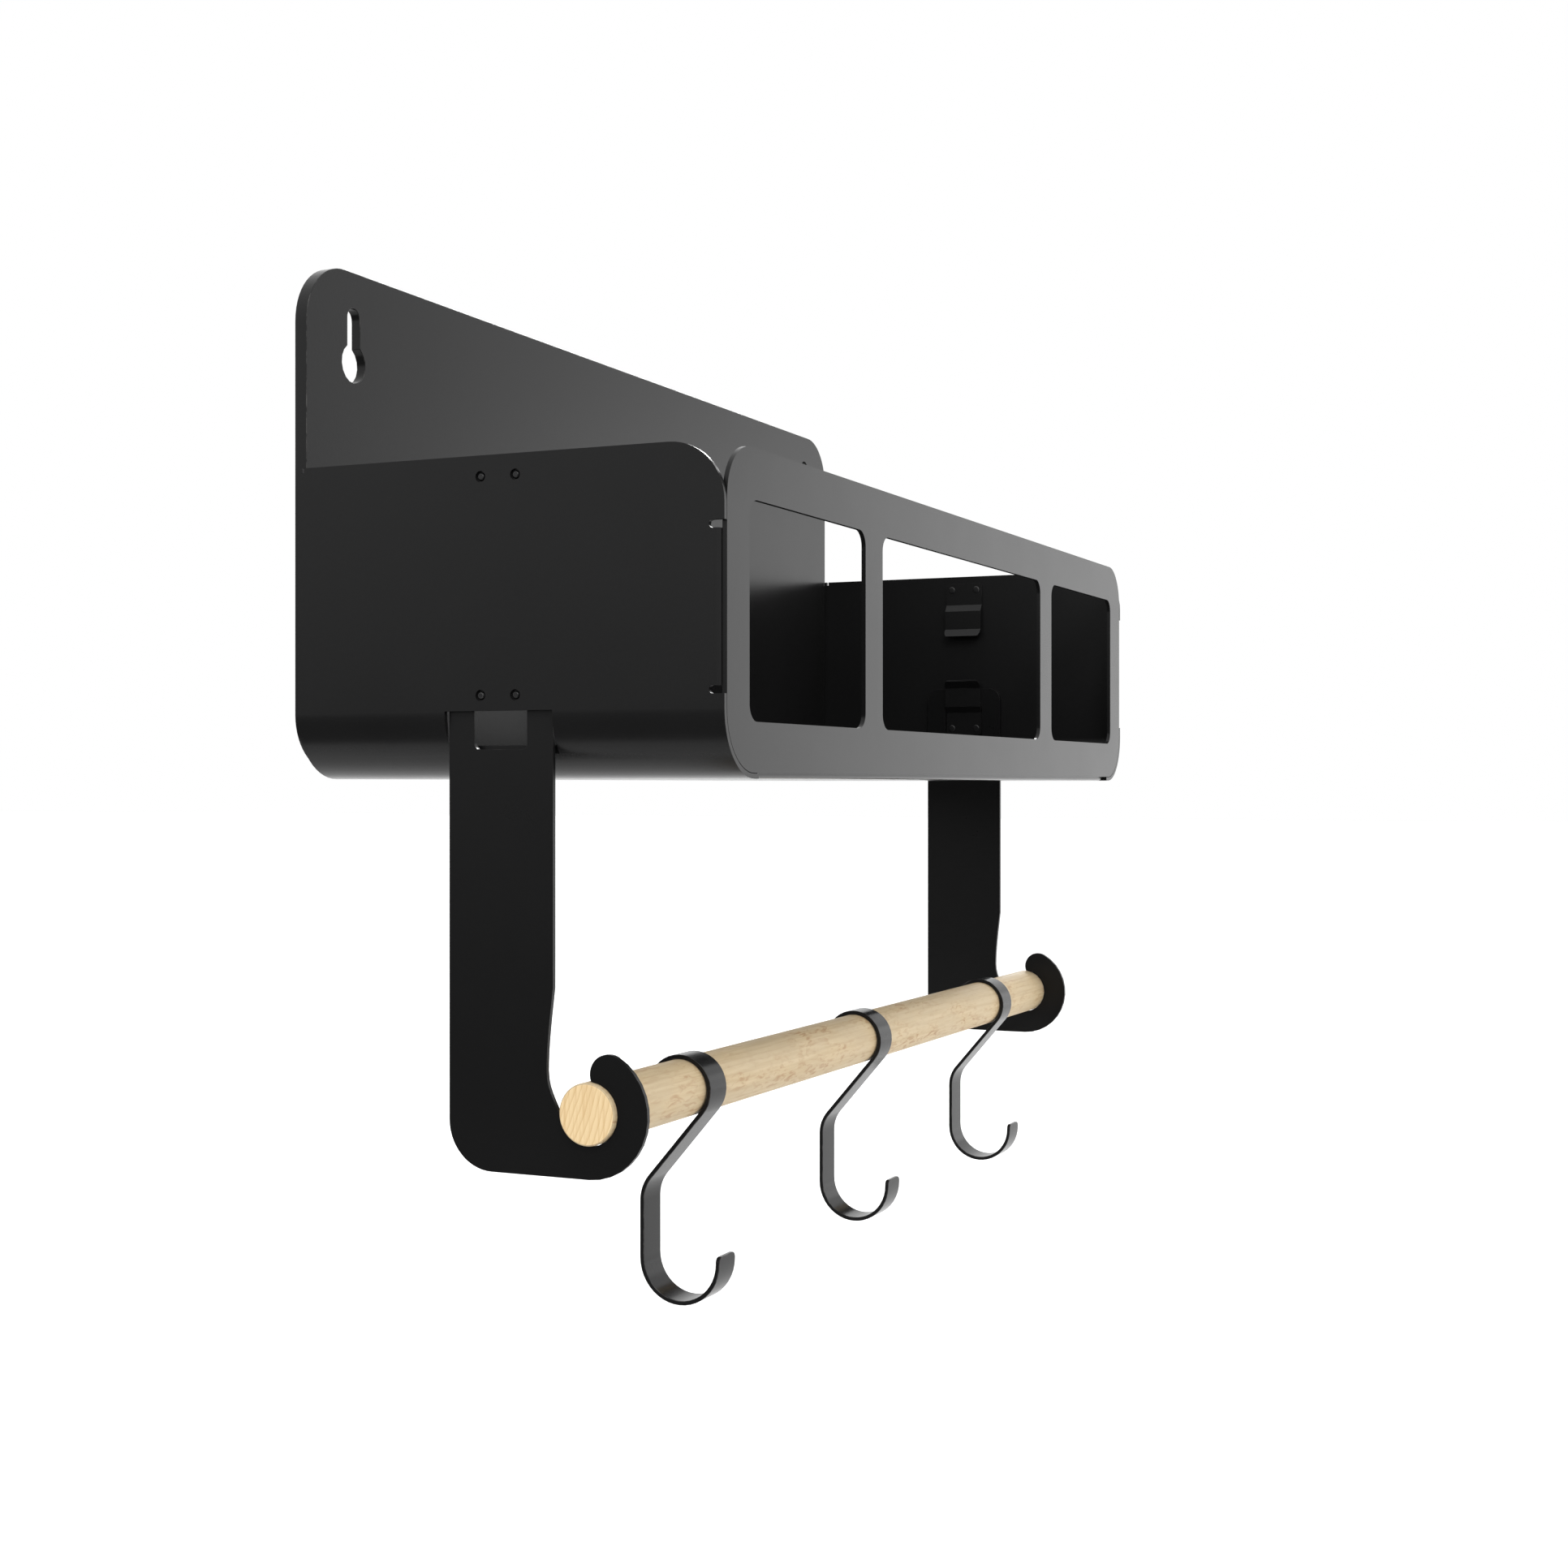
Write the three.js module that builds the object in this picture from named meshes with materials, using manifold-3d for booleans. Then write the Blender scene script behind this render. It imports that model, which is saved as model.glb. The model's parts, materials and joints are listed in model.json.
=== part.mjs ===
// Wall shelf tray with a drop rail and hooks: a folded sheet-steel tray on a thick back plate,
// two J-ended arms hung on clips inside its side walls, a round wood rail in their cradles,
// and three flat-strip S-hooks on the rail.
//
// Millimetres, +Z up. The wall is the plane y = 0 and the tray's front faces -Y. The origin lies
// on the back plate's wall face, midway between the two keyholes and level with their slot ends.

import * as THREE from 'three';
import * as BufferGeometryUtils from 'three/addons/utils/BufferGeometryUtils.js';
import Module from 'manifold-3d';

const wasm = await Module();
wasm.setup();

// ---------------------------------------------------------------- driving dimensions

const LENGTH = 562; // overall, left wall to right wall
const DEPTH = 203; // wall plane to the front face
const HANG_Z = 200; // tray underside up to the keyhole slot ends, which is the origin's height
const SHEET = 2; // folded sheet, front frame and arms
const GAP = 0.3; // clearance between separate neighbouring pieces

const WALL_H = 130; // tray walls, above the underside
const BEND_R = 27; // outer radius of the big bends between walls and floor
const WALL_CORNER_R = 24; // top front corner of each side wall
const WRAP_BACK = 4.5; // rear edge of the side walls, from the wall plane

const TAB_LOW = 35.7; // the front tab of a side wall spans these heights
const TAB_HIGH = 96;
const TAB_REACH = 13; // how far a tab runs along the sheet it carries
const TAB_BEND_R = 2.5; // outer radius of the tab bends
const RELIEF_H = 3.1; // round-ended slot at each end of a tab bend
const RELIEF_DEPTH = 6.7; // from the front face into the wall
const FLOOR_TAB_INSET = 34; // floor tabs start this far in from each end

const PLATE_T = 6; // back plate
const PLATE_INSET = 4; // from the tray's outer faces, both ends and underneath
const PLATE_TOP = 220;
const PLATE_CORNER_R = 27;

const KEYHOLE_X = 37.5; // from each end of the tray
const KEYHOLE_SLOT_W = 9;
const KEYHOLE_HEAD_D = 17;
const KEYHOLE_DROP = 19.5; // slot end down to the head hole's centre
const POCKET_MARGIN = 3; // shallow recess round each keyhole, on the wall side
const POCKET_DEPTH = 1.5;

const WINDOW_INSET = 22.5; // from each end to the outer windows
const WINDOW_LOW = 22.4;
const WINDOW_HIGH = 109.6;
const WINDOW_R = 7;
const MULLION = 20.4;
const SIDE_WINDOW_W = 120.6;
const FRAME_TOP_R = 22;

const ARM_AXIS_D = 102.1; // arm, clips and rivets are centred this far from the wall plane
const ARM_W = 48.4;
const SLOT_W = 50.2;
const SLOT_TOP = 27.3;
const SLOT_REACH = 6; // how far the slot cuts in from the wall's outer face
const ARM_TOP = 58.5;
const ARM_TOP_R = 8;
const ARM_WINDOW_W = 24.6;
const ARM_WINDOW_LOW = 11.8;
const ARM_WINDOW_HIGH = 48.3;
const ARM_WINDOW_R = 2.5;
const ARM_HEEL_R = 20;
const ARM_TAPER_TOP = -83;
const NECK_D = 123.4;
const NECK_H = -116;

const RAIL_D = 142.7; // rail axis, from the wall plane
const RAIL_H = -132; // rail axis, above the tray's underside
const RAIL_R = 12.5;
const RAIL_EDGE = 0.8; // chamfer round each end; the rail is as long as the tray
const CRADLE_R = 12.8;
const CRADLE_OUTER_R = 26;
const ARM_BOTTOM = RAIL_H - CRADLE_OUTER_R;
const MOUTH_ANGLE = 200; // where the neck's curve runs into the cradle
const TIP_ANGLE = 61.5; // centre of the cradle's rounded tip, degrees above straight forward
const TIP_R = 8.2;

const CLIP_T = 1.5;
const CLIP_W = 23.6;
const CLIP_STEP = 2.6; // clear height under the strap, for the arm
const CLIP_FOOT_END = 125.5;
const CLIP_STEP_START = 111.6;
const CLIP_STEP_END = 107.6;
const CLIP_LIP_START = 96;
const CLIP_LIP_END = 91.4;
const CLIP_MIRROR_H = 77.5; // the lower clip mirrors the upper one about this height
const CLIP_LIP_REACH = 3.2;
const CLIP_LIP_R = 4;
const CLIP_FOOT_R = 2;

const RIVET_PITCH = 16.2;
const RIVET_H = 121.5;
const RIVET_SHANK_R = 1.5;
const RIVET_HOLE_R = 1.8;
const RIVET_RECESS_R = 2.3;
const RIVET_RECESS = 1;
const RIVET_TAIL_BACK = 0.25; // tail end below the wall's outer face
const RIVET_HEAD_R = 2.2;
const RIVET_HEAD_T = 0.7;

const HOOK_W = 15.6;
const HOOK_T = 1.9;
const HOOK_RING_R = 13.1; // inner radius round the rail
const HOOK_RING_BACK = 205; // the ring's free end, degrees round from straight forward
const HOOK_SHANK_D = 123.8; // outer face of the straight shank
const HOOK_SHANK_TOP = -181;
const HOOK_CUP_R = 19; // outer radius of the open cup
const HOOK_CUP_H = -205.5;
const HOOK_TIP_RISE = 3;
const HOOK_TIP_R = 2.5;
const HOOK_ELBOW_R = 16;
const HOOK_PITCH = 195;
const HOOK_FIRST_X = -193;

const ARC_STEPS = 7; // half the facets of each round corner
const HALF = LENGTH / 2;

// ---------------------------------------------------------------- solids

const solidOf = (geometry) => {
  const bare = geometry.clone();
  bare.deleteAttribute('normal');
  bare.deleteAttribute('uv');
  const merged = BufferGeometryUtils.mergeVertices(bare, 1e-5);
  return new wasm.Manifold(new wasm.Mesh({
    numProp: 3,
    vertProperties: new Float32Array(merged.attributes.position.array),
    triVerts: new Uint32Array(merged.index.array),
  }));
};

const geometryOf = (solid) => {
  const mesh = solid.getMesh();
  const geometry = new THREE.BufferGeometry();
  geometry.setAttribute('position', new THREE.BufferAttribute(mesh.vertProperties, 3));
  geometry.setIndex(new THREE.BufferAttribute(mesh.triVerts, 1));
  geometry.computeVertexNormals();
  return geometry;
};

const cutAll = (solid, tools) => tools.reduce((rest, tool) => rest.subtract(tool), solid);

// A box given by its lowest and highest corners, in x, depth from the wall, and height.
const block = (x0, x1, d0, d1, h0, h1) => {
  const geometry = new THREE.BoxGeometry(x1 - x0, d1 - d0, h1 - h0);
  geometry.translate((x0 + x1) / 2, -(d0 + d1) / 2, (h0 + h1) / 2 - HANG_Z);
  return solidOf(geometry);
};

const extrude = (shape, depth) => new THREE.ExtrudeGeometry(shape, {
  depth,
  bevelEnabled: false,
  curveSegments: ARC_STEPS,
  steps: 1,
});

// Extrusions of outlines drawn in the front view (x, height), and in the side view (depth, height).
const slabFront = (shape, d0, d1) => {
  const geometry = extrude(shape, d1 - d0);
  geometry.rotateX(Math.PI / 2);
  geometry.translate(0, -d0, -HANG_Z);
  return solidOf(geometry);
};

const slabSide = (shape, x0, x1) => {
  const geometry = extrude(shape, x1 - x0);
  geometry.rotateX(Math.PI / 2);
  geometry.rotateZ(-Math.PI / 2);
  geometry.translate(x1, 0, -HANG_Z);
  return solidOf(geometry);
};

const drill = (x0, x1, d, h, r) => {
  const geometry = new THREE.CylinderGeometry(r, r, x1 - x0, 20);
  geometry.rotateZ(Math.PI / 2);
  geometry.translate((x0 + x1) / 2, -d, h - HANG_Z);
  return solidOf(geometry);
};

// ---------------------------------------------------------------- outlines

// A rectangle with its own radius at each corner: low left, low right, high right, high left.
const roundedRect = (a0, a1, b0, b1, radii) => {
  const [lowLeft, lowRight, highRight, highLeft] = radii;
  const shape = new THREE.Shape();
  shape.moveTo(a0 + lowLeft, b0);
  shape.lineTo(a1 - lowRight, b0);
  if (lowRight) shape.absarc(a1 - lowRight, b0 + lowRight, lowRight, -Math.PI / 2, 0, false);
  shape.lineTo(a1, b1 - highRight);
  if (highRight) shape.absarc(a1 - highRight, b1 - highRight, highRight, 0, Math.PI / 2, false);
  shape.lineTo(a0 + highLeft, b1);
  if (highLeft) shape.absarc(a0 + highLeft, b1 - highLeft, highLeft, Math.PI / 2, Math.PI, false);
  shape.lineTo(a0, b0 + lowLeft);
  if (lowLeft) shape.absarc(a0 + lowLeft, b0 + lowLeft, lowLeft, Math.PI, Math.PI * 1.5, false);
  return shape;
};

const allRound = (a0, a1, b0, b1, r) => roundedRect(a0, a1, b0, b1, [r, r, r, r]);

const arcPoints = (cx, cy, r, fromDeg, toDeg, steps) => {
  const points = [];
  for (let i = 0; i <= steps; i += 1) {
    const angle = THREE.MathUtils.degToRad(fromDeg + ((toDeg - fromDeg) * i) / steps);
    points.push(new THREE.Vector2(cx + r * Math.cos(angle), cy + r * Math.sin(angle)));
  }
  return points;
};

// The outline of a bent strip, from its centre line and its thickness.
const stripShape = (line, thickness) => {
  const left = [];
  const right = [];
  line.forEach((point, i) => {
    const before = line[Math.max(i - 1, 0)];
    const after = line[Math.min(i + 1, line.length - 1)];
    const into = new THREE.Vector2().subVectors(point, before);
    const out = new THREE.Vector2().subVectors(after, point);
    if (i === 0) into.copy(out);
    if (i === line.length - 1) out.copy(into);
    into.normalize();
    out.normalize();
    const along = new THREE.Vector2().addVectors(into, out).normalize();
    const mitre = thickness / 2 / along.dot(into);
    const normal = new THREE.Vector2(-along.y, along.x).multiplyScalar(mitre);
    left.push(point.clone().add(normal));
    right.unshift(point.clone().sub(normal));
  });
  return new THREE.Shape([...left, ...right]);
};

// ---------------------------------------------------------------- tray wrap

// Walls and floor in the front view: a U with the big bends, open at the top.
const wrapSection = () => {
  const outer = BEND_R;
  const inner = BEND_R - SHEET;
  const right = HALF - SHEET;
  const shape = new THREE.Shape();
  shape.moveTo(-HALF, WALL_H);
  shape.lineTo(-HALF, outer);
  shape.absarc(-HALF + outer, outer, outer, Math.PI, Math.PI * 1.5, false);
  shape.lineTo(HALF - outer, 0);
  shape.absarc(HALF - outer, outer, outer, -Math.PI / 2, 0, false);
  shape.lineTo(HALF, WALL_H);
  shape.lineTo(right, WALL_H);
  shape.lineTo(right, outer);
  shape.absarc(HALF - outer, outer, inner, 0, -Math.PI / 2, true);
  shape.lineTo(-HALF + outer, SHEET);
  shape.absarc(-HALF + outer, outer, inner, -Math.PI / 2, -Math.PI, true);
  shape.lineTo(-right, WALL_H);
  return shape;
};

// The side profile that trims the top front corner of both walls.
const wallProfile = () => roundedRect(WRAP_BACK, DEPTH, -1, WALL_H, [0, 0, WALL_CORNER_R, 0]);

const FRAME_BACK = DEPTH - SHEET; // rear face of the front frame, which the tabs lie against
const PLATE_FRONT = PLATE_T; // front face of the back plate

// A tab's section: sheet coming along the u axis, bent up the v axis, its outer face at u = face.
const tabLine = (face, away, reach) => {
  const middle = TAB_BEND_R - SHEET / 2;
  const sign = Math.sign(face - away);
  const centre = face - sign * TAB_BEND_R;
  const arc = arcPoints(0, TAB_BEND_R, middle, -90, 0, 5);
  const bend = arc.map((point) => new THREE.Vector2(centre + sign * point.x, point.y));
  return [new THREE.Vector2(away, SHEET / 2), ...bend, new THREE.Vector2(face - sign * SHEET / 2, reach)];
};

// Side tabs are drawn in plan, as (depth, distance in from the wall's outer face).
const sideTab = (side) => {
  const shape = stripShape(tabLine(FRAME_BACK, DEPTH - RELIEF_DEPTH - 1, TAB_REACH), SHEET);
  const geometry = extrude(shape, TAB_HIGH - TAB_LOW);
  geometry.rotateZ(-Math.PI / 2);
  geometry.translate(-HALF, 0, TAB_LOW - HANG_Z);
  const solid = solidOf(geometry);
  return side < 0 ? solid : solid.mirror([1, 0, 0]);
};

const floorTab = (face, away) => {
  const line = tabLine(face, away, TAB_REACH);
  return slabSide(stripShape(line, SHEET), -HALF + FLOOR_TAB_INSET, HALF - FLOOR_TAB_INSET);
};

const trayWrap = () => {
  const reliefStart = DEPTH - RELIEF_DEPTH + RELIEF_H / 2; // where the slots' round ends are centred
  const tabStart = FRAME_BACK - TAB_BEND_R;
  let solid = slabFront(wrapSection(), WRAP_BACK, DEPTH).intersect(slabSide(wallProfile(), -HALF, HALF));
  const cuts = [];
  for (const side of [-1, 1]) {
    const outer = side * (HALF + 1);
    const inner = side * (HALF - SHEET - 1);
    const [x0, x1] = [Math.min(outer, inner), Math.max(outer, inner)];
    // the wall stops where the front tab's bend begins, with a relief slot at each end of the bend
    cuts.push(block(x0, x1, tabStart, DEPTH + 1, TAB_LOW, TAB_HIGH));
    cuts.push(block(x0, x1, reliefStart, DEPTH + 1, TAB_LOW - RELIEF_H, TAB_LOW));
    cuts.push(block(x0, x1, reliefStart, DEPTH + 1, TAB_HIGH, TAB_HIGH + RELIEF_H));
    for (const h of [TAB_LOW - RELIEF_H / 2, TAB_HIGH + RELIEF_H / 2]) {
      cuts.push(drill(x0, x1, reliefStart, h, RELIEF_H / 2));
    }
    // the arm's slot through the lower bend
    const slotInner = side * (HALF - SLOT_REACH);
    const [s0, s1] = [Math.min(outer, slotInner), Math.max(outer, slotInner)];
    cuts.push(block(s0, s1, ARM_AXIS_D - SLOT_W / 2, ARM_AXIS_D + SLOT_W / 2, -1, SLOT_TOP));
    // the corner notch at the back of the wall's top edge
    cuts.push(block(x0, x1, WRAP_BACK + 2, WRAP_BACK + 3.2, WALL_H - 2, WALL_H + 1));
    // rivet holes, each with a shallow recess in the outer face
    for (const { d, h } of rivetPlaces()) {
      cuts.push(drill(x0, x1, d, h, RIVET_HOLE_R));
      const recess = side * (HALF - RIVET_RECESS);
      cuts.push(drill(Math.min(outer, recess), Math.max(outer, recess), d, h, RIVET_RECESS_R));
    }
  }
  // the floor's front and rear tabs, with a relief slot at each end of both bends
  const floorFront = [FRAME_BACK - TAB_BEND_R, DEPTH + 1];
  const floorBack = [WRAP_BACK - 1, PLATE_FRONT + TAB_BEND_R];
  for (const [d0, d1] of [floorFront, floorBack]) {
    cuts.push(block(-HALF + FLOOR_TAB_INSET, HALF - FLOOR_TAB_INSET, d0, d1, -1, SHEET + 1));
  }
  for (const [d0, d1] of [[DEPTH - RELIEF_DEPTH, DEPTH + 1], [WRAP_BACK - 1, PLATE_FRONT + RELIEF_DEPTH]]) {
    cuts.push(block(-HALF + FLOOR_TAB_INSET - RELIEF_H, -HALF + FLOOR_TAB_INSET, d0, d1, -1, SHEET + 1));
    cuts.push(block(HALF - FLOOR_TAB_INSET, HALF - FLOOR_TAB_INSET + RELIEF_H, d0, d1, -1, SHEET + 1));
  }
  solid = cutAll(solid, cuts);
  solid = solid.add(sideTab(-1)).add(sideTab(1));
  solid = solid.add(floorTab(FRAME_BACK, DEPTH - RELIEF_DEPTH - 1));
  return solid.add(floorTab(PLATE_FRONT, PLATE_FRONT + RELIEF_DEPTH + 1));
};

// ---------------------------------------------------------------- front frame

const frontFrame = () => {
  const edge = SHEET + GAP;
  const low = BEND_R - edge;
  const outline = roundedRect(-HALF + edge, HALF - edge, edge, WALL_H, [low, low, FRAME_TOP_R, FRAME_TOP_R]);
  const start = -HALF + WINDOW_INSET;
  const middle = start + SIDE_WINDOW_W + MULLION;
  const windows = [[start, start + SIDE_WINDOW_W], [middle, -middle], [-start - SIDE_WINDOW_W, -start]];
  for (const [x0, x1] of windows) {
    outline.holes.push(allRound(x0, x1, WINDOW_LOW, WINDOW_HIGH, WINDOW_R));
  }
  return slabFront(outline, FRAME_BACK, DEPTH);
};

// ---------------------------------------------------------------- back plate

// A keyhole in the front view: a round head hole with a narrower slot running up from it.
const keyhole = (x, grow) => {
  const slot = KEYHOLE_SLOT_W / 2 + grow;
  const head = KEYHOLE_HEAD_D / 2 + grow;
  const centre = HANG_Z - KEYHOLE_DROP;
  const meet = Math.asin(slot / head);
  const shape = new THREE.Shape();
  shape.moveTo(x + slot, centre + head * Math.cos(meet));
  shape.lineTo(x + slot, HANG_Z);
  shape.absarc(x, HANG_Z, slot, 0, Math.PI, false);
  shape.lineTo(x - slot, centre + head * Math.cos(meet));
  shape.absarc(x, centre, head, Math.PI / 2 + meet, Math.PI * 2.5 - meet, false);
  return shape;
};

const backPlate = () => {
  const low = BEND_R - PLATE_INSET;
  const outline = roundedRect(-HALF + PLATE_INSET, HALF - PLATE_INSET, PLATE_INSET, PLATE_TOP,
    [low, low, PLATE_CORNER_R, PLATE_CORNER_R]);
  const cuts = [];
  for (const x of [-HALF + KEYHOLE_X, HALF - KEYHOLE_X]) {
    cuts.push(slabFront(keyhole(x, 0), -1, PLATE_T + 1));
    cuts.push(slabFront(keyhole(x, POCKET_MARGIN), -1, POCKET_DEPTH));
  }
  return cutAll(slabFront(outline, 0, PLATE_T), cuts);
};

// ---------------------------------------------------------------- clips and rivets

function rivetPlaces() {
  const places = [];
  for (const [level, h] of [['upper', RIVET_H], ['lower', 2 * CLIP_MIRROR_H - RIVET_H]]) {
    places.push({ name: `${level}_rear`, d: ARM_AXIS_D - RIVET_PITCH / 2, h });
    places.push({ name: `${level}_front`, d: ARM_AXIS_D + RIVET_PITCH / 2, h });
  }
  return places;
}

// A clip's section in the front view: foot on the wall, step out, strap, flared lip.
const clip = (side, lower) => {
  const foot = CLIP_T / 2;
  const strap = foot + CLIP_STEP;
  const heights = [
    [foot, CLIP_FOOT_END],
    [foot, CLIP_STEP_START],
    [strap, CLIP_STEP_END],
    [strap, CLIP_LIP_START],
    [strap + CLIP_LIP_REACH, CLIP_LIP_END],
  ];
  const wallFace = HALF - SHEET;
  const line = heights.map(([out, h]) => {
    const height = lower ? 2 * CLIP_MIRROR_H - h : h;
    return new THREE.Vector2(side * (wallFace - out), height);
  });
  const d0 = ARM_AXIS_D - CLIP_W / 2;
  const d1 = ARM_AXIS_D + CLIP_W / 2;
  let solid = slabFront(stripShape(line, CLIP_T), d0, d1);
  const lipEnd = CLIP_LIP_END - CLIP_T / 3;
  const [low, high] = lower
    ? [2 * CLIP_MIRROR_H - CLIP_FOOT_END, 2 * CLIP_MIRROR_H - lipEnd]
    : [lipEnd, CLIP_FOOT_END];
  const radii = lower
    ? [CLIP_FOOT_R, CLIP_FOOT_R, CLIP_LIP_R, CLIP_LIP_R]
    : [CLIP_LIP_R, CLIP_LIP_R, CLIP_FOOT_R, CLIP_FOOT_R];
  solid = solid.intersect(slabSide(roundedRect(d0, d1, low, high, radii), -HALF, HALF));
  const places = rivetPlaces().filter(({ name }) => name.startsWith(lower ? 'lower' : 'upper'));
  const x0 = Math.min(side * wallFace, side * (wallFace - CLIP_T)) - 1;
  return cutAll(solid, places.map(({ d, h }) => drill(x0, x0 + CLIP_T + 2, d, h, RIVET_HOLE_R)));
};

// A rivet turned about its own axis: tail in the wall's recess, shank, low round head on the foot.
const rivet = (side, d, h) => {
  const length = SHEET + CLIP_T - RIVET_TAIL_BACK;
  const edge = 0.4;
  const profile = [
    [0, 0],
    [RIVET_SHANK_R - edge, 0],
    [RIVET_SHANK_R, edge],
    [RIVET_SHANK_R, length],
    [RIVET_HEAD_R, length],
    [RIVET_HEAD_R - edge / 2, length + edge],
    [RIVET_HEAD_R - 2 * edge, length + RIVET_HEAD_T],
    [0, length + RIVET_HEAD_T],
  ].map(([r, y]) => new THREE.Vector2(r, y));
  const geometry = new THREE.LatheGeometry(profile, 20);
  geometry.rotateZ(side * Math.PI / 2);
  geometry.translate(side * (HALF - RIVET_TAIL_BACK), -d, h - HANG_Z);
  return solidOf(geometry);
};

// ---------------------------------------------------------------- arms

// The arm in the side view, from the top corner by the wall, anticlockwise.
const armShape = () => {
  const back = ARM_AXIS_D - ARM_W / 2;
  const front = ARM_AXIS_D + ARM_W / 2;
  // the tip is a circle touching the cradle's outer arc from inside and crossing its inner arc
  const tip = THREE.MathUtils.degToRad(TIP_ANGLE);
  const reach = CRADLE_OUTER_R - TIP_R;
  const tipD = RAIL_D + reach * Math.cos(tip);
  const tipH = RAIL_H + reach * Math.sin(tip);
  const tipTurn = Math.acos((reach ** 2 + TIP_R ** 2 - CRADLE_R ** 2) / (2 * reach * TIP_R));
  const cradleTurn = Math.acos((reach ** 2 + CRADLE_R ** 2 - TIP_R ** 2) / (2 * reach * CRADLE_R));
  const mouth = THREE.MathUtils.degToRad(MOUTH_ANGLE);
  const mouthD = RAIL_D + CRADLE_R * Math.cos(mouth);
  const mouthH = RAIL_H + CRADLE_R * Math.sin(mouth);
  const shape = new THREE.Shape();
  shape.moveTo(back + ARM_TOP_R, ARM_TOP);
  shape.absarc(back + ARM_TOP_R, ARM_TOP - ARM_TOP_R, ARM_TOP_R, Math.PI / 2, Math.PI, false);
  shape.lineTo(back, ARM_BOTTOM + ARM_HEEL_R);
  shape.absarc(back + ARM_HEEL_R, ARM_BOTTOM + ARM_HEEL_R, ARM_HEEL_R, Math.PI, Math.PI * 1.5, false);
  shape.lineTo(RAIL_D, ARM_BOTTOM);
  shape.absarc(RAIL_D, RAIL_H, CRADLE_OUTER_R, -Math.PI / 2, tip, false);
  shape.absarc(tipD, tipH, TIP_R, tip, tip + Math.PI - tipTurn, false);
  shape.absarc(RAIL_D, RAIL_H, CRADLE_R, tip + cradleTurn, mouth - Math.PI * 2, true);
  const pull = 8; // length of the handles on the neck's two curves
  shape.bezierCurveTo(mouthD + pull * Math.sin(mouth), mouthH - pull * Math.cos(mouth),
    NECK_D, NECK_H - pull, NECK_D, NECK_H);
  shape.bezierCurveTo(NECK_D, NECK_H + pull, front - pull / 4, ARM_TAPER_TOP - 2 * pull, front, ARM_TAPER_TOP);
  shape.lineTo(front, ARM_TOP - ARM_TOP_R);
  shape.absarc(front - ARM_TOP_R, ARM_TOP - ARM_TOP_R, ARM_TOP_R, 0, Math.PI / 2, false);
  shape.holes.push(allRound(ARM_AXIS_D - ARM_WINDOW_W / 2, ARM_AXIS_D + ARM_WINDOW_W / 2,
    ARM_WINDOW_LOW, ARM_WINDOW_HIGH, ARM_WINDOW_R));
  return shape;
};

const arm = (side) => {
  const outer = side * (HALF - SHEET - GAP);
  const inner = side * (HALF - SHEET - GAP - SHEET);
  return slabSide(armShape(), Math.min(outer, inner), Math.max(outer, inner));
};

// ---------------------------------------------------------------- rail and hooks

const rail = () => {
  const profile = [
    [0, -HALF],
    [RAIL_R - RAIL_EDGE, -HALF],
    [RAIL_R, -HALF + RAIL_EDGE],
    [RAIL_R, HALF - RAIL_EDGE],
    [RAIL_R - RAIL_EDGE, HALF],
    [0, HALF],
  ].map(([r, y]) => new THREE.Vector2(r, y));
  const geometry = new THREE.LatheGeometry(profile, 48);
  geometry.rotateZ(-Math.PI / 2);
  geometry.translate(0, -RAIL_D, RAIL_H - HANG_Z);
  return solidOf(geometry);
};

// The hook's centre line in the side view: over the rail, down and back, down, and round the cup.
const hookLine = () => {
  const half = HOOK_T / 2;
  const ringH = RAIL_H + RAIL_R - HOOK_RING_R + GAP / 2;
  const ringR = HOOK_RING_R + half;
  const shankD = HOOK_SHANK_D + half;
  const cupR = HOOK_CUP_R - half;
  const elbow = new THREE.Vector2(shankD + HOOK_ELBOW_R, HOOK_SHANK_TOP);
  // the slanting run touches both the ring and the elbow, which lie on opposite sides of it
  const gapVector = new THREE.Vector2(RAIL_D - elbow.x, ringH - elbow.y);
  const bearing = Math.atan2(gapVector.y, gapVector.x);
  const lean = Math.acos((ringR + HOOK_ELBOW_R) / gapVector.length());
  const leave = THREE.MathUtils.radToDeg(bearing + lean);
  const cupD = shankD + cupR;
  return [
    ...arcPoints(RAIL_D, ringH, ringR, HOOK_RING_BACK, leave - 180, 26),
    ...arcPoints(elbow.x, elbow.y, HOOK_ELBOW_R, leave, 180, 6),
    ...arcPoints(cupD, HOOK_CUP_H, cupR, 180, 360, 22),
    new THREE.Vector2(cupD + cupR, HOOK_CUP_H + HOOK_TIP_RISE),
  ];
};

const hook = (x) => {
  const x0 = x - HOOK_W / 2;
  const x1 = x + HOOK_W / 2;
  const strip = slabSide(stripShape(hookLine(), HOOK_T), x0, x1);
  // round the corners of the tip, seen from the front
  const tipTop = HOOK_CUP_H + HOOK_TIP_RISE;
  const tipBack = HOOK_SHANK_D + HOOK_CUP_R + 1;
  const trim = block(x0 - 1, x1 + 1, tipBack, tipBack + HOOK_CUP_R, tipTop - HOOK_TIP_R, tipTop + 1);
  const keep = slabFront(allRound(x0, x1, tipTop - 3 * HOOK_TIP_R, tipTop, HOOK_TIP_R),
    tipBack - 1, tipBack + HOOK_CUP_R + 1);
  return strip.subtract(trim.subtract(keep));
};

// ---------------------------------------------------------------- materials and assembly

const coated = (color) => new THREE.MeshStandardMaterial({ color, roughness: 0.5, metalness: 0.2 });
const timber = () => new THREE.MeshStandardMaterial({ color: 0xc9a77c, roughness: 0.65, metalness: 0 });

const group = new THREE.Group();
const place = (name, solid, material) => {
  const mesh = new THREE.Mesh(geometryOf(solid), material);
  mesh.name = name;
  group.add(mesh);
};

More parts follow.
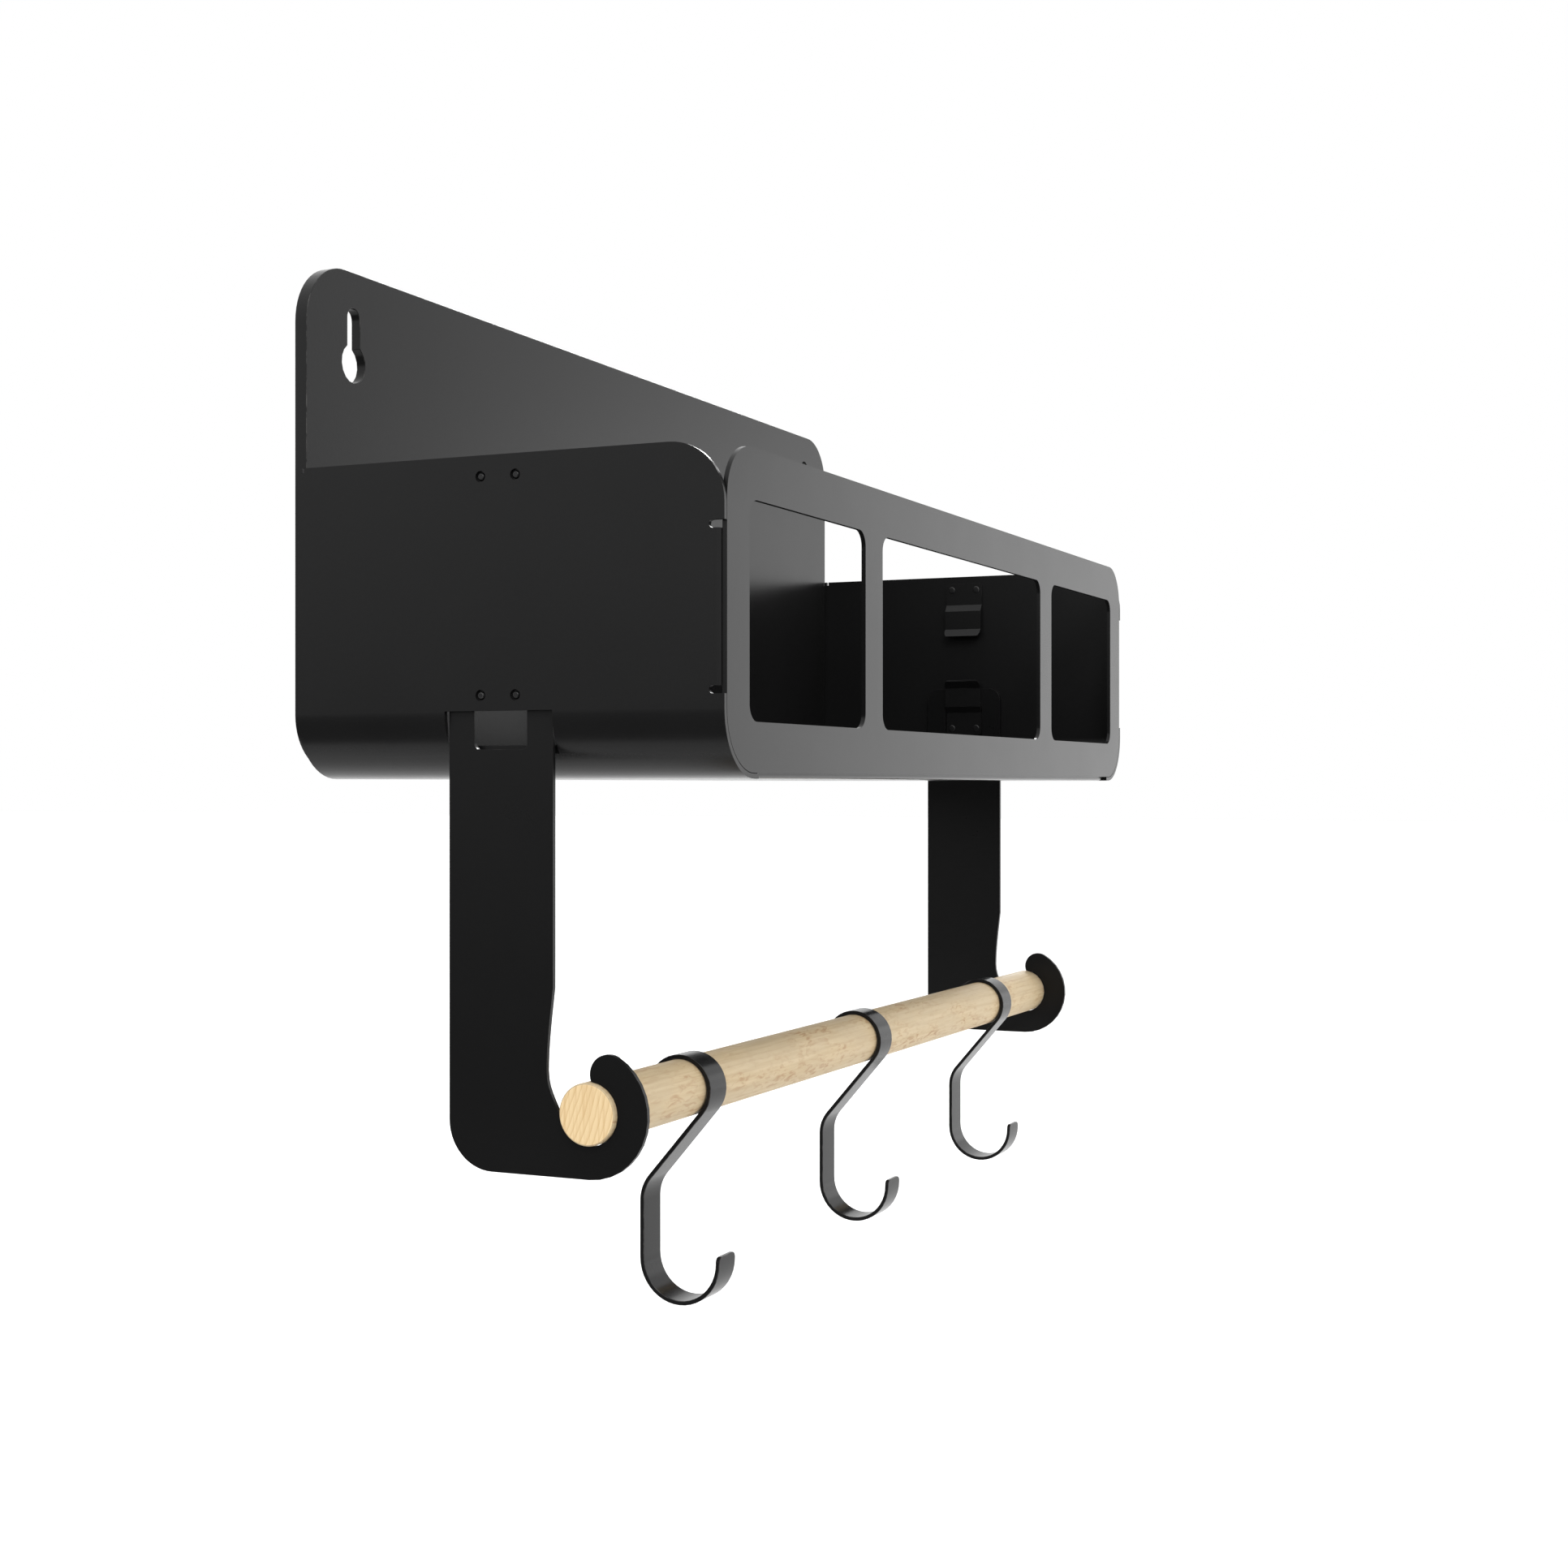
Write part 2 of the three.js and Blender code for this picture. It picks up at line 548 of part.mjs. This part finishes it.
place('back_plate', backPlate(), coated(0x2c2c2d));
place('tray_wrap', trayWrap(), coated(0x303031));
place('front_frame', frontFrame(), coated(0x343435));
for (const [label, side] of [['left', -1], ['right', 1]]) {
  place(`arm_${label}`, arm(side), coated(0x262627));
  place(`clip_${label}_upper`, clip(side, false), coated(0x2a2a2b));
  place(`clip_${label}_lower`, clip(side, true), coated(0x2a2a2b));
  for (const { name, d, h } of rivetPlaces()) {
    place(`rivet_${label}_${name}`, rivet(side, d, h), coated(0x2e2e2f));
  }
}
place('rail', rail(), timber());
['left', 'middle', 'right'].forEach((label, i) => {
  place(`hook_${label}`, hook(HOOK_FIRST_X + i * HOOK_PITCH), coated(0x2a2a2b));
});

export default group;
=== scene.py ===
# Looks for the wall shelf tray: powder-coated sheet steel with eased, lightly worn edges that carry a
# painted highlight, a turned wood rail with growth rings and flecks and an end painted paler as painted
# light, and a plain pale studio. Metres, +Z up.
import json
import math

import bmesh
import bpy
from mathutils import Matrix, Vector


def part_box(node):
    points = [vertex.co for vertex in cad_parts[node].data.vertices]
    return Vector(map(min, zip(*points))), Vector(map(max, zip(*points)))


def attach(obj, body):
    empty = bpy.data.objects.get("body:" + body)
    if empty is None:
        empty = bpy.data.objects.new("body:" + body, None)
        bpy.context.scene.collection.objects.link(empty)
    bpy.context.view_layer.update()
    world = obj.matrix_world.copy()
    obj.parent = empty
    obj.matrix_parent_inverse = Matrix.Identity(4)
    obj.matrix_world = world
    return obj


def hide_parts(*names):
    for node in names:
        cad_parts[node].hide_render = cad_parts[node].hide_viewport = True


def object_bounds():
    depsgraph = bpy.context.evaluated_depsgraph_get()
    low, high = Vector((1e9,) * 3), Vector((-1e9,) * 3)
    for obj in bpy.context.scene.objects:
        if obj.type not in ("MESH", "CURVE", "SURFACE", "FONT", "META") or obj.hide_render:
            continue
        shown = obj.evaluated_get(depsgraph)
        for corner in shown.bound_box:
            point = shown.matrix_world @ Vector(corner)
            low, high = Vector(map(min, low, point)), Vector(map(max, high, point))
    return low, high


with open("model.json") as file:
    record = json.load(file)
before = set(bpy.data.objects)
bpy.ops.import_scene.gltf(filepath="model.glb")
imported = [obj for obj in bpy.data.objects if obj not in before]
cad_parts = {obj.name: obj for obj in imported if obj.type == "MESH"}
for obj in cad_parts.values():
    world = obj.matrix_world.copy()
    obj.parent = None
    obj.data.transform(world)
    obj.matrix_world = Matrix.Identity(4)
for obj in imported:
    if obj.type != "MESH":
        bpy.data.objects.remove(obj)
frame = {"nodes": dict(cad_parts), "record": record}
cad_low, cad_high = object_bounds()

bodies = frame["record"]["behaviour"]["bodies"]
BODY_OF = {node: body for body, nodes in bodies.items() for node in nodes}
SLOT_OF = {part["node"]: part["material_slot"] for part in frame["record"]["subparts"]}

MM = 0.001

# ---------------------------------------------------------------- camera

CAMERA_PLACE = (-1.0202, -0.5607, -0.20205)  # level with the tray's underside, off its left end
CAMERA_TURN = -65.76  # degrees about Z, from looking along +Y
CAMERA_FIELD = 40.0  # degrees across the frame
CAMERA_NEAR = 0.05
CAMERA_FAR = 60.0
SENSOR_WIDTH = 36.0


def make_camera():
    data = bpy.data.cameras.new("camera")
    data.sensor_width = SENSOR_WIDTH
    data.lens = data.sensor_width / 2 / math.tan(math.radians(CAMERA_FIELD / 2))
    data.clip_start = CAMERA_NEAR
    data.clip_end = CAMERA_FAR
    camera = bpy.data.objects.new("camera", data)
    camera.location = CAMERA_PLACE
    camera.rotation_euler = (math.radians(90), 0.0, math.radians(CAMERA_TURN))
    bpy.context.scene.collection.objects.link(camera)
    bpy.context.scene.camera = camera


# ---------------------------------------------------------------- node helpers


class Nodes:
    """A material's node tree, with short calls for the nodes that the materials share."""

    def __init__(self, name):
        self.material = bpy.data.materials.new(name)
        self.material.use_nodes = True
        self.tree = self.material.node_tree
        self.shader = self.tree.nodes["Principled BSDF"]
        self.place = self.add("ShaderNodeTexCoord").outputs["Object"]

    def add(self, kind, **settings):
        node = self.tree.nodes.new(kind)
        for key, value in settings.items():
            setattr(node, key, value)
        return node

    def link(self, source, target):
        self.tree.links.new(source, target)

    def stretched(self, scale, shift=(0.0, 0.0, 0.0)):
        mapping = self.add("ShaderNodeMapping")
        mapping.inputs["Location"].default_value = shift
        mapping.inputs["Scale"].default_value = scale
        self.link(self.place, mapping.inputs["Vector"])
        return mapping.outputs["Vector"]

    def noise(self, scale, detail=3.0, vector=None, roughness=0.5, distortion=0.0):
        node = self.add("ShaderNodeTexNoise")
        node.inputs["Scale"].default_value = scale
        node.inputs["Detail"].default_value = detail
        node.inputs["Roughness"].default_value = roughness
        node.inputs["Distortion"].default_value = distortion
        self.link(self.place if vector is None else vector, node.inputs["Vector"])
        return node.outputs["Fac"]

    def spread(self, value, low, high, to_low, to_high):
        node = self.add("ShaderNodeMapRange")
        set_range(node, low, high, to_low, to_high)
        self.link(value, node.inputs["Value"])
        return node.outputs["Result"]

    def maths(self, operation, first, second):
        node = self.add("ShaderNodeMath", operation=operation)
        for socket, value in zip(node.inputs, (first, second)):
            if isinstance(value, (int, float)):
                socket.default_value = value
            else:
                self.link(value, socket)
        return node.outputs["Value"]

    def ramp(self, value, stops):
        """Greys along a ramp, from (position, level) stops."""
        node = self.add("ShaderNodeValToRGB")
        while len(node.color_ramp.elements) < len(stops):
            node.color_ramp.elements.new(0.5)
        for element, (position, level) in zip(node.color_ramp.elements, stops):
            element.position = position
            element.color = (level, level, level, 1.0)
        self.link(value, node.inputs["Fac"])
        return node.outputs["Color"]

    def mix(self, amount, first, second):
        node = self.add("ShaderNodeMix", data_type="RGBA")
        for socket, value in zip((node.inputs[0], node.inputs[6], node.inputs[7]), (amount, first, second)):
            if isinstance(value, tuple):
                socket.default_value = (*value, 1.0)
            else:
                self.link(value, socket)
        return node.outputs[2]

    def bump(self, height, strength, distance, below=None):
        node = self.add("ShaderNodeBump")
        node.inputs["Strength"].default_value = strength
        node.inputs["Distance"].default_value = distance
        self.link(height, node.inputs["Height"])
        if below is not None:
            self.link(below, node.inputs["Normal"])
        return node.outputs["Normal"]


def set_range(node, low, high, to_low, to_high):
    for name, number in zip(("From Min", "From Max", "To Min", "To Max"), (low, high, to_low, to_high)):
        node.inputs[name].default_value = number


def scaled(color, factor):
    return tuple(channel * factor for channel in color)


# ---------------------------------------------------------------- powder coat

COATS = {  # color, gloss, roughness
    "tray_coat": ((0.0068, 0.0068, 0.0069), 0.16, 0.25),
    # The arms' coat is the tray's coat painted darker: painted shade for the shade the arms sit in.
    "arm_coat": ((0.0048, 0.0048, 0.0049), 0.16, 0.28),
    "hook_coat": ((0.0070, 0.0070, 0.0072), 0.14, 0.22),
    "rivet_steel": ((0.009, 0.009, 0.0093), 0.24, 0.24),
}
PATCH_DARK = 0.88
PATCH_PALE = 1.14
SPECK_PALE = 1.7
SPECK_DEPTH = 0.3
WORN_COLOR = (0.16, 0.155, 0.15)
# Edges are painted paler than their faces: a painted highlight along every eased edge, under the real
# rubbed wear.
EDGE_HIGHLIGHT_PALE = 1.7  # an edge's color over its face's
EDGE_POLISH = 0.06  # how much less rough an edge is
EDGE_WEAR = 0.35
ROUGHNESS_BELOW = 0.012
ROUGHNESS_ABOVE = 0.018

# Noise scales, in features per metre.
PATCH_SCALE = 9.0
SHEEN_SCALE = 34.0
RUB_SCALE = 160.0
PEEL_SCALE = 520.0
SPECK_SCALE = 1500.0
GRAIN_SCALE = 2600.0

# Bump strengths and heights.
PEEL_BUMP = (0.10, 0.12 * MM)
GRAIN_BUMP = (0.07, 0.05 * MM)


def powder_coat(name, color, gloss, roughness, wear=0.0):
    """Baked coat: soft orange peel, fine grain, patchy sheen, and rubbed where wear is above 0."""
    nodes = Nodes(name)
    patches = nodes.spread(nodes.noise(PATCH_SCALE, detail=4.0), 0.3, 0.7, 0.0, 1.0)
    tone = nodes.mix(patches, scaled(color, PATCH_DARK), scaled(color, PATCH_PALE))
    specks = nodes.spread(nodes.noise(SPECK_SCALE, detail=2.0), 0.55, 0.8, 0.0, SPECK_DEPTH)
    tone = nodes.mix(specks, tone, scaled(color, SPECK_PALE))
    if wear:
        rubbed = nodes.noise(RUB_SCALE, detail=6.0, roughness=0.7)
        tone = nodes.mix(nodes.spread(rubbed, 0.46, 0.66, 0.0, wear), tone, WORN_COLOR)
    nodes.link(tone, nodes.shader.inputs["Base Color"])
    sheen = nodes.noise(SHEEN_SCALE, detail=5.0, roughness=0.6)
    varied = nodes.spread(sheen, 0.25, 0.75, roughness - ROUGHNESS_BELOW, roughness + ROUGHNESS_ABOVE)
    nodes.link(varied, nodes.shader.inputs["Roughness"])
    peel = nodes.bump(nodes.noise(PEEL_SCALE, detail=1.5), *PEEL_BUMP)
    grain = nodes.bump(nodes.noise(GRAIN_SCALE, detail=2.0), *GRAIN_BUMP, below=peel)
    nodes.link(grain, nodes.shader.inputs["Normal"])
    nodes.shader.inputs["Specular IOR Level"].default_value = gloss
    return nodes.material


def make_coats():
    """Each coated slot's face material and its edge material, which is rubbed and also painted paler as a
    painted highlight.
    """
    coats = {}
    for slot, (color, gloss, roughness) in COATS.items():
        face = powder_coat(slot, color, gloss, roughness)
        # The edge colour is the face colour painted paler, a painted highlight.
        edge_highlight_color = scaled(color, EDGE_HIGHLIGHT_PALE)
        edge = powder_coat(slot + "_edge", edge_highlight_color, gloss, roughness - EDGE_POLISH, wear=EDGE_WEAR)
        coats[slot] = (face, edge)
    return coats


# ---------------------------------------------------------------- wood

WOOD_PALE = (0.50, 0.39, 0.235)
WOOD_DARK = (0.30, 0.205, 0.105)
WOOD_FLECK = (0.30, 0.165, 0.07)
WOOD_GREY = (0.40, 0.33, 0.225)
# The end's pale colour is painted light: the end face is painted brighter than the side wood to stand in
# for the light it catches.
END_LIT_PALE = (0.76, 0.585, 0.34)
END_DARK = (0.54, 0.33, 0.135)
WOOD_GLOSS = 0.3
WOOD_SMOOTH = 0.50
WOOD_ROUGH = 0.64
FIBRE_BUMP = (0.3, 0.10 * MM)
PORE_BUMP = (0.25, 0.08 * MM)

PITH = (0.0, 0.085, 0.030)  # where the tree's centre lay, from the rail's axis
ACROSS_GRAIN = (0.0, 1.0, 1.0)
RING_PITCH = 2.3 * MM
RING_WANDER = 1.6 * MM

# How dark the wood is through one year's ring, and how strongly that shows.
SIDE_RING = ((0.0, 0.0), (0.6, 0.15), (0.9, 1.0), (1.0, 0.0))
END_RING = ((0.0, 0.0), (0.5, 0.12), (0.82, 0.5), (0.93, 1.0), (1.0, 0.0))
SIDE_RING_DEPTH = 0.24
END_RING_DEPTH = 0.62

# Noise scales along X, Y and Z, in features per metre, and shifts that keep patterns apart.
WANDER_SCALE = (9.0, 60.0, 60.0)
FIBRE_SCALE = (22.0, 520.0, 520.0)
FLECK_SCALE = (120.0, 420.0, 420.0)
FLECK_SHIFT = (0.4, 0.2, 0.1)
BAND_SCALE = (26.0, 70.0, 70.0)
BAND_SHIFT = (0.1, 0.7, 0.3)
RAY_SCALE = (1.0, 900.0, 45.0)
PORE_SCALE = 2400.0


def growth_rings(nodes, axis):
    """Distance from the pith, wandering a little along the length, turned into rings."""
    shift = nodes.add("ShaderNodeVectorMath", operation="SUBTRACT")
    nodes.link(nodes.place, shift.inputs[0])
    shift.inputs[1].default_value = Vector(axis) + Vector(PITH)
    across = nodes.add("ShaderNodeVectorMath", operation="MULTIPLY")
    nodes.link(shift.outputs["Vector"], across.inputs[0])
    across.inputs[1].default_value = ACROSS_GRAIN
    distance = nodes.add("ShaderNodeVectorMath", operation="LENGTH")
    nodes.link(across.outputs["Vector"], distance.inputs[0])
    wander = nodes.noise(1.0, vector=nodes.stretched(WANDER_SCALE))
    offset = nodes.spread(wander, 0.0, 1.0, -RING_WANDER, RING_WANDER)
    turns = nodes.maths("DIVIDE", nodes.maths("ADD", distance.outputs["Value"], offset), RING_PITCH)
    return nodes.maths("FRACT", turns, 0.0)


def wood_shader(nodes, tone, fibres, pores):
    nodes.link(tone, nodes.shader.inputs["Base Color"])
    nodes.link(nodes.spread(fibres, 0.3, 0.7, WOOD_SMOOTH, WOOD_ROUGH), nodes.shader.inputs["Roughness"])
    grooves = nodes.bump(fibres, *FIBRE_BUMP)
    nodes.link(nodes.bump(pores, *PORE_BUMP, below=grooves), nodes.shader.inputs["Normal"])
    nodes.shader.inputs["Specular IOR Level"].default_value = WOOD_GLOSS
    return nodes.material


def side_wood(axis):
    """Long grain: faint rings, fine fibres along the rail, and short warm flecks in drifting bands."""
    nodes = Nodes("rail_side")
    late = nodes.ramp(growth_rings(nodes, axis), SIDE_RING)
    tone = nodes.mix(nodes.maths("MULTIPLY", late, SIDE_RING_DEPTH), WOOD_PALE, WOOD_DARK)
    fibres = nodes.noise(1.0, detail=6.0, vector=nodes.stretched(FIBRE_SCALE), roughness=0.62)
    tone = nodes.mix(nodes.spread(fibres, 0.40, 0.76, 0.0, 0.42), tone, WOOD_DARK)
    fleck_place = nodes.stretched(FLECK_SCALE, FLECK_SHIFT)
    flecks = nodes.noise(1.0, detail=4.0, vector=fleck_place, distortion=1.0)
    bands = nodes.noise(1.0, detail=2.0, vector=nodes.stretched(BAND_SCALE, BAND_SHIFT))
    flecked = nodes.spread(flecks, 0.50, 0.66, 0.0, 0.75)
    banded = nodes.spread(bands, 0.40, 0.60, 0.25, 1.0)
    tone = nodes.mix(nodes.maths("MULTIPLY", flecked, banded), tone, WOOD_FLECK)
    tone = nodes.mix(nodes.spread(bands, 0.35, 0.65, 0.35, 0.0), tone, WOOD_GREY)
    return wood_shader(nodes, tone, fibres, flecks)


def end_wood(axis):
    """End grain, painted paler than the side as painted light on the end face, with thin warm ring lines
    close to vertical and fine rays between them.
    """
    nodes = Nodes("rail_end")
    late = nodes.ramp(growth_rings(nodes, axis), END_RING)
    tone = nodes.mix(nodes.maths("MULTIPLY", late, END_RING_DEPTH), END_LIT_PALE, END_DARK)
    rays = nodes.noise(1.0, vector=nodes.stretched(RAY_SCALE))
    tone = nodes.mix(nodes.spread(rays, 0.45, 0.70, 0.0, 0.45), tone, END_DARK)
    pores = nodes.noise(PORE_SCALE, detail=2.0)
    tone = nodes.mix(nodes.spread(pores, 0.60, 0.75, 0.0, 0.10), tone, WOOD_DARK)
    return wood_shader(nodes, tone, rays, pores)


# ---------------------------------------------------------------- pieces

SHARP = math.radians(30)
FLAT = math.radians(0.6)
SAME_POINT = 0.002 * MM
EDGE_EASE = {
    "tray_coat": 0.28 * MM,
    "arm_coat": 0.28 * MM,
    "hook_coat": 0.30 * MM,
    "rivet_steel": 0.12 * MM,
}
EASE_STEPS = 3
FLAT_FACE_WEIGHT = 80
FACE_MATERIAL = 0
EDGE_MATERIAL = 1

RAIL_SIDES = 128
RAIL_SPANS = 24
RAIL_EASE = 0.9 * MM
RAIL_EASE_STEPS = 5
SIDE_MATERIAL = 0
END_MATERIAL = 1


def new_piece(name, mesh, node, materials):
    piece = bpy.data.objects.new(name, mesh)
    bpy.context.scene.collection.objects.link(piece)
    for material in materials:
        mesh.materials.append(material)
    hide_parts(node)
    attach(piece, BODY_OF[node])
    return piece


def settle(piece):
    """Turns the piece's modifiers into its mesh."""
    graph = bpy.context.evaluated_depsgraph_get()
    mesh = bpy.data.meshes.new_from_object(piece.evaluated_get(graph), depsgraph=graph)
    piece.modifiers.clear()
    piece.data = mesh


def eased_piece(node, coats):
    """The node's shape with its coplanar facets joined and every real edge eased."""
    slot = SLOT_OF[node]
    mesh = bpy.data.meshes.new(node + "_skin")
    body = bmesh.new()
    body.from_mesh(frame["nodes"][node].data)
    bmesh.ops.remove_doubles(body, verts=body.verts, dist=SAME_POINT)
    bmesh.ops.dissolve_limit(body, angle_limit=FLAT, verts=body.verts, edges=body.edges)
    for face in body.faces:
        face.smooth = True
        face.material_index = FACE_MATERIAL
    body.to_mesh(mesh)
    body.free()
    if "custom_normal" in mesh.attributes:
        mesh.attributes.remove(mesh.attributes["custom_normal"])
    piece = new_piece(node + "_skin", mesh, node, coats[slot])
    ease = piece.modifiers.new("ease", "BEVEL")
    ease.width = EDGE_EASE[slot]
    ease.segments = EASE_STEPS
    ease.limit_method = "ANGLE"
    ease.angle_limit = SHARP
    ease.material = EDGE_MATERIAL
    weighted = piece.modifiers.new("flat_faces", "WEIGHTED_NORMAL")
    weighted.weight = FLAT_FACE_WEIGHT
    settle(piece)


def rail_profile(half, radius):
    """Points (along, out) from one end to the other: an ease, the straight side, an ease."""
    inner = half - RAIL_EASE
    rounding = []
    for step in range(RAIL_EASE_STEPS + 1):
        angle = math.pi / 2 * step / RAIL_EASE_STEPS
        along = inner + RAIL_EASE * math.cos(angle)
        out = radius - RAIL_EASE + RAIL_EASE * math.sin(angle)
        rounding.append((along, out))
    straight = [(inner - 2 * inner * step / RAIL_SPANS, radius) for step in range(1, RAIL_SPANS)]
    return rounding + straight + [(-along, out) for along, out in reversed(rounding)]


def rail_piece(materials):
    """The rail turned about its axis: straight side, a rounded ease at each end, and flat ends."""
    low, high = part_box("rail")
    middle = (low + high) / 2
    body = bmesh.new()
    rings = []
    for along, out in rail_profile((high.x - low.x) / 2, (high.z - low.z) / 2):
        ring = []
        for side in range(RAIL_SIDES):
            angle = 2 * math.pi * side / RAIL_SIDES
            place = (middle.x + along, middle.y + out * math.cos(angle), middle.z + out * math.sin(angle))
            ring.append(body.verts.new(place))
        rings.append(ring)
    for ring, following in zip(rings, rings[1:]):
        for side in range(RAIL_SIDES):
            after = (side + 1) % RAIL_SIDES
            body.faces.new((ring[side], ring[after], following[after], following[side]))
    body.faces.new(list(reversed(rings[0])))
    body.faces.new(rings[-1])
    bmesh.ops.recalc_face_normals(body, faces=body.faces)
    body.normal_update()
    for face in body.faces:
        is_end = abs(face.normal.x) > 0.9
        face.material_index = END_MATERIAL if is_end else SIDE_MATERIAL
        face.smooth = len(face.verts) == 4
    mesh = bpy.data.meshes.new("rail_wood")
    body.to_mesh(mesh)
    body.free()
    new_piece("rail_wood", mesh, "rail", materials)


# ---------------------------------------------------------------- studio

FLOOR_DROP = 0.22  # below the lowest hook
FLOOR_LEFT = 0.35  # how far the floor reaches past the tray's left end
FLOOR_REACH = 25.0  # and how far every other way
FLOOR_DARK = (0.76, 0.76, 0.76)
FLOOR_PALE = (0.79, 0.79, 0.79)
FLOOR_ROUGHNESS = 0.9
FLOOR_GLOW = 0.08

LEFT_LEVEL = 0.22  # the studio's brightness low on the left, on the right, and overhead
RIGHT_LEVEL = 1.2
TOP_LEVEL = 1.45
RIGHT_RISE = (-0.15, 0.95)  # where along X, and along Z, the studio brightens
TOP_RISE = (-0.05, 0.15)

LIGHTS = (  # name, place, size, watts
    ("key", (-2.2, -1.6, 1.9), 1.4, 42.0),
    ("rim", (2.6, 0.5, 1.7), 0.8, 45.0),
    ("right_fill", (2.6, -1.4, -0.3), 1.6, 5.0),
)


def make_floor():
    nodes = Nodes("studio_floor")
    tone = nodes.noise(3.0, detail=2.0)
    nodes.link(nodes.mix(tone, FLOOR_DARK, FLOOR_PALE), nodes.shader.inputs["Base Color"])
    nodes.shader.inputs["Roughness"].default_value = FLOOR_ROUGHNESS
    nodes.shader.inputs["Specular IOR Level"].default_value = 0.0
    nodes.shader.inputs["Emission Color"].default_value = (1.0, 1.0, 1.0, 1.0)
    nodes.shader.inputs["Emission Strength"].default_value = FLOOR_GLOW
    left = cad_low.x - FLOOR_LEFT
    height = cad_low.z - FLOOR_DROP
    corners = [
        (left, -FLOOR_REACH, height),
        (FLOOR_REACH, -FLOOR_REACH, height),
        (FLOOR_REACH, FLOOR_REACH, height),
        (left, FLOOR_REACH, height),
    ]
    mesh = bpy.data.meshes.new("floor")
    mesh.from_pydata(corners, [], [(0, 1, 2, 3)])
    mesh.materials.append(nodes.material)
    floor = bpy.data.objects.new("floor", mesh)
    bpy.context.scene.collection.objects.link(floor)


def soft_light(name, place, target, size, watts):
    data = bpy.data.lights.new(name, "AREA")
    data.shape = "DISK"
    data.size = size
    data.energy = watts
    light = bpy.data.objects.new(name, data)
    light.location = place
    light.rotation_euler = (Vector(target) - Vector(place)).to_track_quat("-Z", "Y").to_euler()
    bpy.context.scene.collection.objects.link(light)


def make_world():
    """A studio that is dim low on the left and bright above and to the right, with a white backdrop."""
    world = bpy.data.worlds.new("studio")
    world.use_nodes = True
    tree = world.node_tree
    backdrop = tree.nodes["Background"]
    backdrop.inputs["Color"].default_value = (1.0, 1.0, 1.0, 1.0)
    direction = tree.nodes.new("ShaderNodeSeparateXYZ")
    tree.links.new(tree.nodes.new("ShaderNodeTexCoord").outputs["Generated"], direction.inputs["Vector"])
    levels = []
    for axis, rise, bright in (("X", RIGHT_RISE, RIGHT_LEVEL), ("Z", TOP_RISE, TOP_LEVEL)):
        ease = tree.nodes.new("ShaderNodeMapRange")
        ease.interpolation_type = "SMOOTHSTEP"
        set_range(ease, *rise, LEFT_LEVEL, bright)
        tree.links.new(direction.outputs[axis], ease.inputs["Value"])
        levels.append(ease.outputs["Result"])
    brighter = tree.nodes.new("ShaderNodeMath")
    brighter.operation = "MAXIMUM"
    for level, socket in zip(levels, brighter.inputs):
        tree.links.new(level, socket)
    seen = tree.nodes.new("ShaderNodeMix")
    tree.links.new(tree.nodes.new("ShaderNodeLightPath").outputs["Is Camera Ray"], seen.inputs[0])
    tree.links.new(brighter.outputs["Value"], seen.inputs[2])
    seen.inputs[3].default_value = 1.0
    tree.links.new(seen.outputs[0], backdrop.inputs["Strength"])
    return world


def make_studio():
    make_floor()
    middle = (cad_low + cad_high) / 2
    for name, place, size, watts in LIGHTS:
        soft_light(name, place, middle, size, watts)
    scene = bpy.context.scene
    scene.world = make_world()
    scene.view_settings.view_transform = "Standard"


# ---------------------------------------------------------------- build

make_camera()
coats = make_coats()
for node in sorted(frame["nodes"]):
    if SLOT_OF[node] in coats:
        eased_piece(node, coats)

rail_low, rail_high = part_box("rail")
rail_axis = (rail_low + rail_high) / 2
rail_piece((side_wood(rail_axis), end_wood(rail_axis)))
make_studio()
